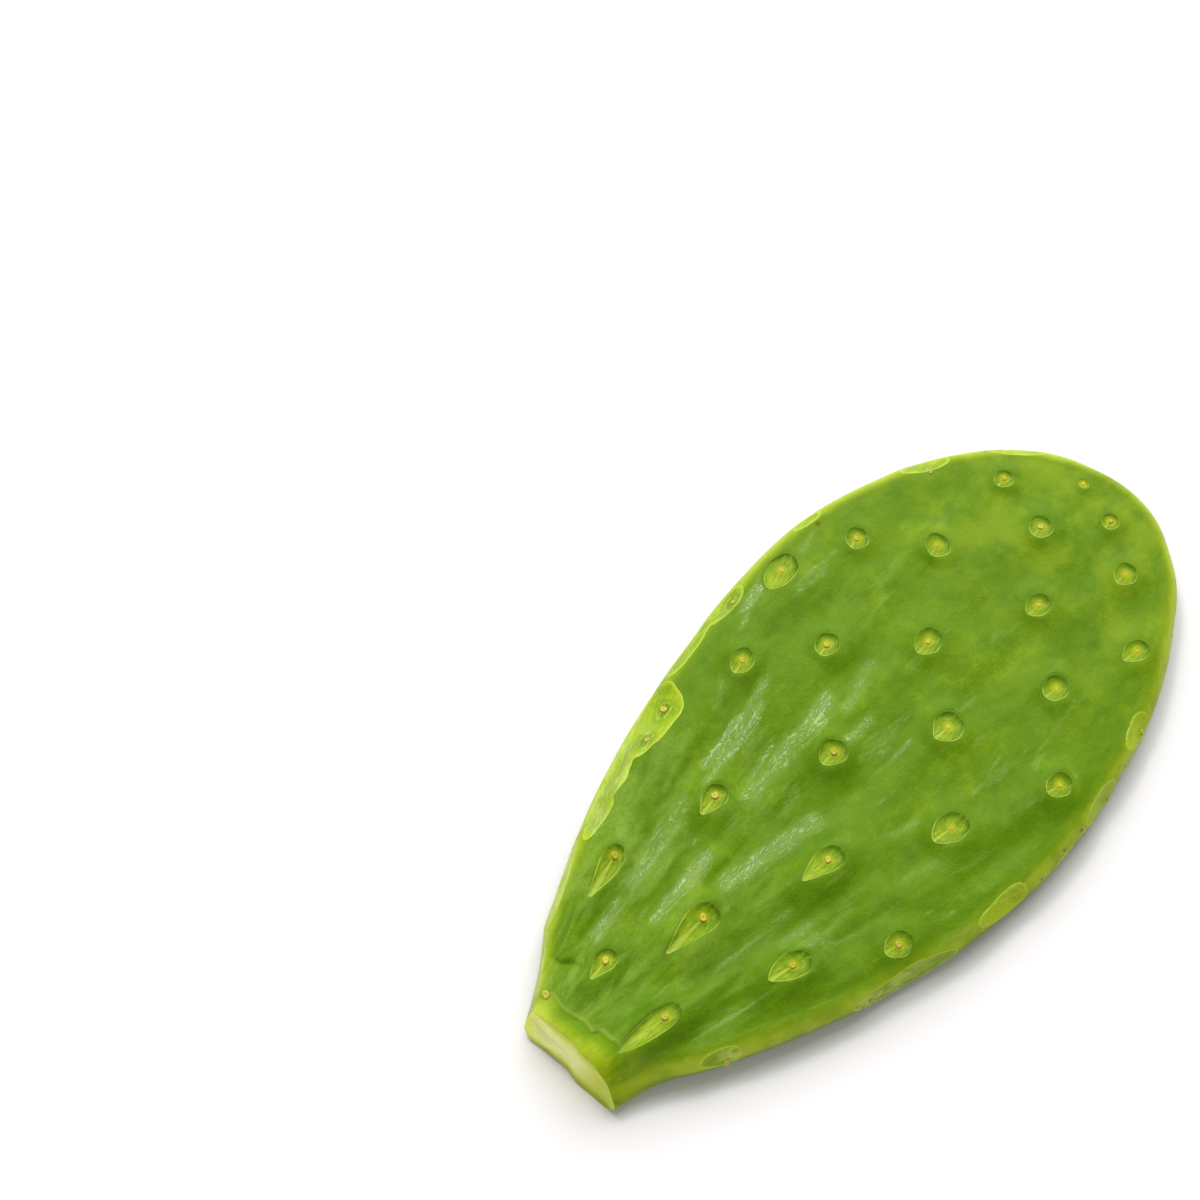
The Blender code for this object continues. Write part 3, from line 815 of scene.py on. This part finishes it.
def makeSkinMaterial():
    material, tree, shader = newMaterial(
        "cactusSkin", Subsurface_Weight=0.12, Subsurface_Radius=(1, 0.9, 0.25), Subsurface_Scale=0.0016,
        Specular_IOR_Level=0.22, Specular_Tint=(0.8, 1, 0.35, 1), Coat_Roughness=0.28, Coat_IOR=1.5, IOR=1.42,
    )
    place = millimetres(tree)
    fan, fanX, fanY, fanZ = values(tree, "fanPlace")
    spot, along, across, edge = values(tree, "areoleSpot")
    _, depth, beyond, collar = values(tree, "padZones")
    _, tone, gloss, speck = values(tree, "padTones")
    _, nub, _, _ = values(tree, "nubSpot")
    look = coloursOf(skinLook)
    grain = useGroup(grainGroup, Place=place, Stretch=0.8)

    # greens: slow patches drawn out along the pad, then smaller mottling, then a thin waxy bloom, strongest on
    # the lower left, where its paleness is partly painted sheen
    slow = noise(scaled(fan, 1, 0.4, 1), 0.085, 3, 0.5, 0.3)
    mottle = noise(place, 0.21, 4, 0.6)
    fine = noise(scaled(fan, 1, 0.55, 1), 1.3, 4, 0.65)
    lowerRight = times(ramp(fanX, -15, 40), ramp(fanY, 70, 170, 1, 0))
    patches = minus(plus(times(slow, 0.5), times(mottle, 0.5)), times(lowerRight, 0.05))
    lowerLeft = times(ramp(fanY, 15, 125, 1, 0.15), ramp(fanX, -45, 35, 1, 0.25))
    wax = noise(scaled(fan, 1, 0.45, 1), 0.16, 5, 0.62, 0.5)
    # the pale bloom on the lower left: the skin's wax, partly painted sheen
    bloomAndSheen = times(ramp(wax, 0.42, 0.64), lowerLeft)
    colour = painted(
        look["deep"], look,
        (ramp(patches, 0.3, 0.52), "middle"),
        (ramp(patches, 0.50, 0.68), "light"),
        (ramp(fine, 0.4, 0.75, 0, 0.16), "light"),
        (times(bloomAndSheen, 0.76), "bloomAndSheen"),
        (times(grain["Pores"], 0.2), "bloomAndSheen"),
        (ramp(grain["Height"], 0.35, 0.62, 0.3, 0), "deep"),
    )

    # the tip is yellower, and so is the rim: a faint wash behind it, and a thin pale roll at its very edge, its
    # yellow tint with a painted highlight where the rounded shoulder catches the light, mostly on the upper face
    # and wider on the left
    blotch = times(ramp(noise(place, 0.09, 3), 0.4, 0.66), ramp(fanY, 125, 195, 0, 0.55))
    ragged = strayed(depth, mottle, 7)
    upperHalf = ramp(fanZ, 4.5, 8.5)
    rolled = strayed(depth, noise(scaled(place, 0.25, 0.25, 0.7), 1, 3), 1.8)
    rolled = maths("DIVIDE", rolled, ramp(fanX, -30, 20, 1.9, 1.7))
    patchyRoll = ramp(noise(place, 0.07, 4, 0.6), 0.36, 0.58, 0.35, 1)
    # the pale roll at the rim is partly painted highlight on its rounded shoulder
    colour = painted(
        colour, look,
        (blotch, "tipBlotch"),
        (times(ramp(ragged, 0.5, 6, 0.5, 0), ramp(upperHalf, 0, 1, 0.35, 1)), "yellow"),
        (times(ramp(rolled, 0.3, 2.2, 0.85, 0), ramp(upperHalf, 0, 1, 0.08, 1), patchyRoll), "edge"),
    )

    # cut flesh on the rim's flats: pale at their edges, juicier round the stubs, with scraped streaks
    scrapes = noise(scaled(fan, 2.6, 0.3, 1.6), 1, 4, 0.65, 0.5)
    patchy = noise(scaled(fan, 1, 0.45, 1), 0.42, 3, 0.5, 0.6)
    cutEdge = strayed(beyond, noise(place, 0.9, 2), 0.35)
    leftSide = ramp(fanX, 0, 20, 1, 0.3)
    strip = times(ramp(fanY, 84, 92, 1, 0), ramp(fanX, 30, 45), ramp(cutEdge, 0.3, 1), 0.7)
    whiter = times(ramp(patchy, 0.4, 0.6), ramp(fanY, 68, 84, 0.65, 0))
    rimColour = painted(
        look["rimPale"], look,
        (times(ramp(cutEdge, 0.2, 1.6), ramp(patchy, 0.34, 0.6, 0.15, 0.75), leftSide), "rimDeep"),
        (times(ramp(nub, 0.8, 3.2, 0.85, 0), leftSide, ramp(cutEdge, 0.1, 0.7)), "facetJuicy"),
        (times(line(nub, 1.5, 0.4), ramp(scrapes, 0.4, 0.6, 0.1, 0.6)), "ring"),
        (strip, "rimGreen"),
        (plus(ramp(scrapes, 0.54, 0.7, 0, 0.6), whiter), "rimScrape"),
    )
    colour = mixed(ramp(cutEdge, -0.12, 0.12, 0, 0.94), colour, rimColour)
    outline = times(line(cutEdge, 0.1, 0.22), ramp(patchy, 0.36, 0.55, 0.15, 0.85))
    colour = painted(colour, look, (outline, "ring"))

    # the peeled collar: juicy and green along the skin's edge, yellower at the left corner, paler at the cut
    coarse = scaled(fan, 0.4, 0.4, 0.4)
    collarTissue = useGroup(tissueGroup, Place=coarse, Pale=look["collar"], Juicy=look["collarEdge"], Amount=0.5)
    leftward = ramp(fanX, -34, -4, 0.9, 0)
    hugging = ramp(plus(collar, times(patchy, 1.5)), -4.6, -0.2, 0, 0.95)
    collarColour = painted(
        collarTissue["Colour"], look,
        (leftward, "collarLeft"),
        (times(hugging, ramp(leftward, 0, 0.9, 1, 0.45)), "collarEdge"),
    )
    softer = maths("DIVIDE", collar, ramp(fanX, 14, 32, 1, 12))
    peeled = times(ramp(softer, -0.35, 0.35, 1, 0), ramp(fanX, 20, 38, 1, 0.35))
    corner = times(ramp(fanX, 16, 28), ramp(fanY, 6, 17, 1, 0), ramp(patchy, 0.35, 0.62, 0.1, 0.7))
    # painted highlight: the skin lighter just above the collar's edge, and a pale line along its lip, where the
    # step catches the light
    colour = painted(colour, look, (ramp(collar, 0.2, 2.6, 0.5, 0), "light"))
    lip = times(line(collar, 0.4, 0.8), ramp(fanX, 18, 24, 0.22, 0))
    colour = painted(mixed(peeled, colour, collarColour), look, (corner, "collar"), (lip, "lipHighlight"))

    # the clusters' flats: painted shade on the skin around them, a pale ring that fades towards the tip and
    # brightens towards the stem side as a painted highlight, painted shade at the head and just inside the edge,
    # darker radial streaks, yellower flesh at the stem side with a wedge-shaped seam, and a brighter eye round
    # the stub
    reach = maths("POWER", plus(times(along, along), times(across, across)), 0.5)
    pale, juicy, amount = look["facetPale"], look["facetJuicy"], ramp(tone, 0, 1, 0.7, 1)
    spotTissue = useGroup(tissueGroup, Place=place, Pale=pale, Juicy=juicy, Amount=amount)
    flat = times(ramp(edge, -0.1, 0.12, 1, 0), ramp(fanY, 10, 17, 0.25, 1))
    # painted shade: the dark crescent inside the head, where the dished flat's wall faces away from the light
    headShade = times(ramp(along, -3, 0.8, 1, 0), ramp(edge, -2, -0.4))
    radial = noise(scaled(spot, 0.3, 1.3, 0), 1, 3, 0.6, 0.3)
    wedge = maths("DIVIDE", maths("ABSOLUTE", across), plus(times(along, 0.08), 0.1))
    seam = times(ramp(wedge, 0.4, 1.4, 1, 0), ramp(along, 0.7, 1.5), ramp(tone, 0.2, 0.8, 0.25, 0.6))
    # the darker colour is painted shade at the head and just inside the edge, and the flesh's own in the radial
    # streaks
    flatColour = painted(
        spotTissue["Colour"], look,
        (times(ramp(along, 0.2, 5), ramp(tone, 0, 1, 0.7, 0.35)), "facetTail"),
        (times(headShade, 0.8), "facetDarkAndShade"),
        (ramp(edge, -1.2, -0.2, 0, 0.3), "facetDarkAndShade"),
        (ramp(radial, 0.5, 0.66, 0, 0.55), "facetDarkAndShade"),
        (ramp(radial, 0.34, 0.46, 0.22, 0), "ring"),
        (seam, "ring"),
        (ramp(reach, 0.5, 2, 0.75, 0), "eye"),
    )
    # the skin darkened for 2.6 mm outside each flat is painted shade round its mound
    colour = mixed(flat, painted(colour, look, (ramp(edge, 0.1, 2.6, 0.25, 0), "deep")), flatColour)
    # the ring is the flat's own pale lip, brightened towards the stem side as a painted highlight where the
    # dished wall faces the light
    facing = plus(along, times(across, -0.6), times(tone, 1.5))
    ring = times(line(edge, 0, 0.21), ramp(facing, -1.2, 3.2, 0, 0.7), ramp(fanY, 10, 17))
    ring = times(ring, ramp(patchy, 0.35, 0.55, 0.4, 1))

    # streaks where the skin is wrinkled like a film: a pale haze, wax with painted sheen, and thin winding
    # crests that catch light, painted pale as highlights as well as glossy and raised
    streak = noise(scaled(fan, 1, 0.2, 1), 0.20, 3, 0.55, 0.15)
    broken = noise(scaled(fan, 1, 0.3, 1), 0.45, 4, 0.65, 0.4)
    elsewhere = times(ramp(streak, 0.56, 0.66), ramp(fanY, 130, 190, 0.5, 0.1), ramp(fanY, 10, 25))
    wet = times(plus(gloss, elsewhere), ramp(edge, 0.3, 1.2), ramp(collar, 0.5, 2))
    torn = minus(plus(wet, broken), 1)
    hazeAndSheen = times(ramp(torn, -0.45, 0.45), 0.34)
    glossy = ramp(torn, -0.2, 0.35)
    folds = noise(scaled(fan, 1, 0.27, 1), 0.7, 2, 0.5, 0.9)
    hairs = times(glossy, maths("MAXIMUM", line(folds, 0.45, 0.03), line(folds, 0.57, 0.028)))
    # painted sheen and highlights: the pale haze over the streaks and the pale crinkle crests
    colour = painted(
        colour, look,
        (ring, "ring"),
        (ramp(speck, 0.25, 0.6, 0, 0.85), "speck"),
        (hazeAndSheen, "bloomAndSheen"),
        (times(hairs, 0.6), "crinkleHighlight"),
    )
    feed(shader.inputs["Base Color"], colour)
    feed(shader.inputs["Coat Weight"], plus(times(hazeAndSheen, 0.4), times(hairs, 0.5)))
    cut = maths("MAXIMUM", flat, ramp(cutEdge, -0.12, 0.12))
    feed(shader.inputs["Roughness"], minus(ramp(fine, 0.3, 0.7, 0.38, 0.5), times(cut, 0.1)))

    relief = plus(
        times(grain["Height"], skinRelief["grain"]),
        times(hairs, skinRelief["hairs"]),
        times(glossy, minus(folds, 0.5), skinRelief["folds"]),
        times(fine, skinRelief["fine"]),
        times(line(edge, 0, 0.35), skinRelief["ring"]),
        times(line(cutEdge, 0, 0.35), skinRelief["cutEdge"]),
        times(scrapes, ramp(cutEdge, 0, 0.5), skinRelief["scrapes"]),
        times(spotTissue["Height"], cut, skinRelief["tissue"]),
        times(seam, flat, -skinRelief["seam"]),
    )
    bumped(shader, relief, mm)
    return material


def makeFleshMaterial():
    material, tree, shader = newMaterial(
        "cutFlesh", Subsurface_Weight=0.25, Subsurface_Radius=(1, 0.9, 0.4), Subsurface_Scale=0.003,
        Roughness=0.4, Specular_IOR_Level=0.25,
    )
    fan, fanX, _, fanZ = values(tree, "fanPlace")
    look = coloursOf(fleshLook)
    fibres = scaled(fan, 0.15, 1, 2)
    tissue = useGroup(tissueGroup, Place=fibres, Pale=look["pale"], Juicy=look["juicy"], Amount=0.9)
    side = plus(fanX, times(noise(fan, 0.3, 2), 8))
    central = times(line(fanZ, 6, 5), ramp(fanX, -34, -16), ramp(fanX, 6, 26, 1, 0))
    low = strayed(fanZ, noise(fan, 0.8, 2), 0.8)
    colour = painted(
        tissue["Colour"], look,
        (times(central, 0.75), "middle"),
        (ramp(side, 4, 38, 0, 0.85), "right"),
        (ramp(low, 0.5, 2.4, 0.95, 0), "under"),
        (ramp(low, 9.6, 12.4, 0, 0.8), "top"),
    )
    feed(shader.inputs["Base Color"], colour)
    bumped(shader, tissue["Height"], 0.2 * mm)
    return material


stubLook = {"pale": "#c6bd3a", "dull": "#aaa026", "brown": "#80600f", "foot": "#a7ab2c", "pores": "#8f7a2a"}


def makeStubMaterial():
    flesh = {"Roughness": 0.45, "Subsurface_Weight": 0.2, "Subsurface_Scale": 0.001}
    material, tree, shader = newMaterial("stubFlesh", **flesh)
    _, share, tone, radius = values(tree, "stubSpot")
    grain = useGroup(grainGroup, Place=millimetres(tree), Stretch=1)
    look = coloursOf(stubLook)
    colour = painted(
        look["pale"], look,
        (tone, "dull"),
        (times(ramp(share, 0.3, 0.8, 1, 0), ramp(radius, 0.5, 1, 0.95, 0.45)), "brown"),
        (ramp(share, 1.05, 1.2, 0, 0.5), "foot"),
        (times(grain["Pores"], 0.3), "pores"),
    )
    feed(shader.inputs["Base Color"], colour)
    bumped(shader, grain["Height"], 0.15 * mm)
    return material


padSkin.data.materials.append(makeSkinMaterial())
padSkin.data.materials.append(makeFleshMaterial())
areoleStubs.data.materials.append(makeStubMaterial())
for piece in (padSkin, areoleStubs):
    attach(piece, "root")
    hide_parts("nopal_pad")
print("materials ready")


studio = {
    "floorSize": 40,
    "floorColour": (0.862, 0.846, 0.866, 1),
    "floorRoughness": 0.75,
    "azimuth": 43.2,
    "elevation": 64,
    "distance": 0.71826,
    "aim": (-0.07715, -0.00871, 0),
    "lens": 85,
    "skyColour": (1, 0.97, 0.91, 1),
    "skyStrength": 0.35,
    "skySeen": 0.93,
    "lights": [  # name, kind, place, power, and the side of a lamp in metres or the angle of a sun in radians
        ("key", "SUN", (-0.54, 0.75, 0.93), 3.02, 1.15),
        ("sheen", "AREA", (-0.72, 0.24, 1.3), 5, 0.32),
        ("fill", "AREA", (0.05, -1.35, 0.3), 4.2, 0.9),
    ],
}


def addFloor():
    half = studio["floorSize"] / 2 / mm
    corners = np.array([(-half, -half, 0), (half, -half, 0), (half, half, 0), (-half, half, 0)])
    floor = meshPiece("floor", corners, [(0, 1, 2, 3)])
    material, _, shader = newMaterial("paleFloor", Roughness=studio["floorRoughness"])
    shader.inputs["Base Color"].default_value = studio["floorColour"]
    floor.data.materials.append(material)


def placed(name, data, place, towards):
    # an object at a place, looking along a direction
    thing = bpy.data.objects.new(name, data)
    bpy.context.scene.collection.objects.link(thing)
    thing.location = place
    thing.rotation_mode = "QUATERNION"
    thing.rotation_quaternion = Vector(towards).to_track_quat("-Z", "Y")
    return thing


def addCamera():
    azimuth, elevation = np.radians(studio["azimuth"]), np.radians(studio["elevation"])
    level = np.cos(elevation)
    back = Vector((np.sin(azimuth) * level, -np.cos(azimuth) * level, np.sin(elevation)))
    data = bpy.data.cameras.new("camera")
    data.lens, data.sensor_width = studio["lens"], 36
    data.clip_start, data.clip_end = 0.02, 20
    place = Vector(studio["aim"]) + back * studio["distance"]
    bpy.context.scene.camera = placed("camera", data, place, -back)


def addLight(name, kind, place, power, size):
    data = bpy.data.lights.new(name, kind)
    data.energy = power
    setattr(data, "angle" if kind == "SUN" else "size", size)
    placed(name, data, place, -Vector(place))


def addWorld():
    # an even sky, seen paler than it lights the pad
    world = bpy.data.worlds.new("studioWorld")
    world.use_nodes = True
    tree = world.node_tree
    seen = addNode("ShaderNodeLightPath", {}, tree).outputs["Is Camera Ray"]
    background = tree.nodes["Background"].inputs
    background["Color"].default_value = studio["skyColour"]
    feed(background["Strength"], maths("MAXIMUM", times(seen, studio["skySeen"]), studio["skyStrength"]))
    bpy.context.scene.world = world


addFloor()
addCamera()
for light in studio["lights"]:
    addLight(*light)
addWorld()
bpy.context.scene.view_settings.view_transform = "Standard"
print("studio ready")
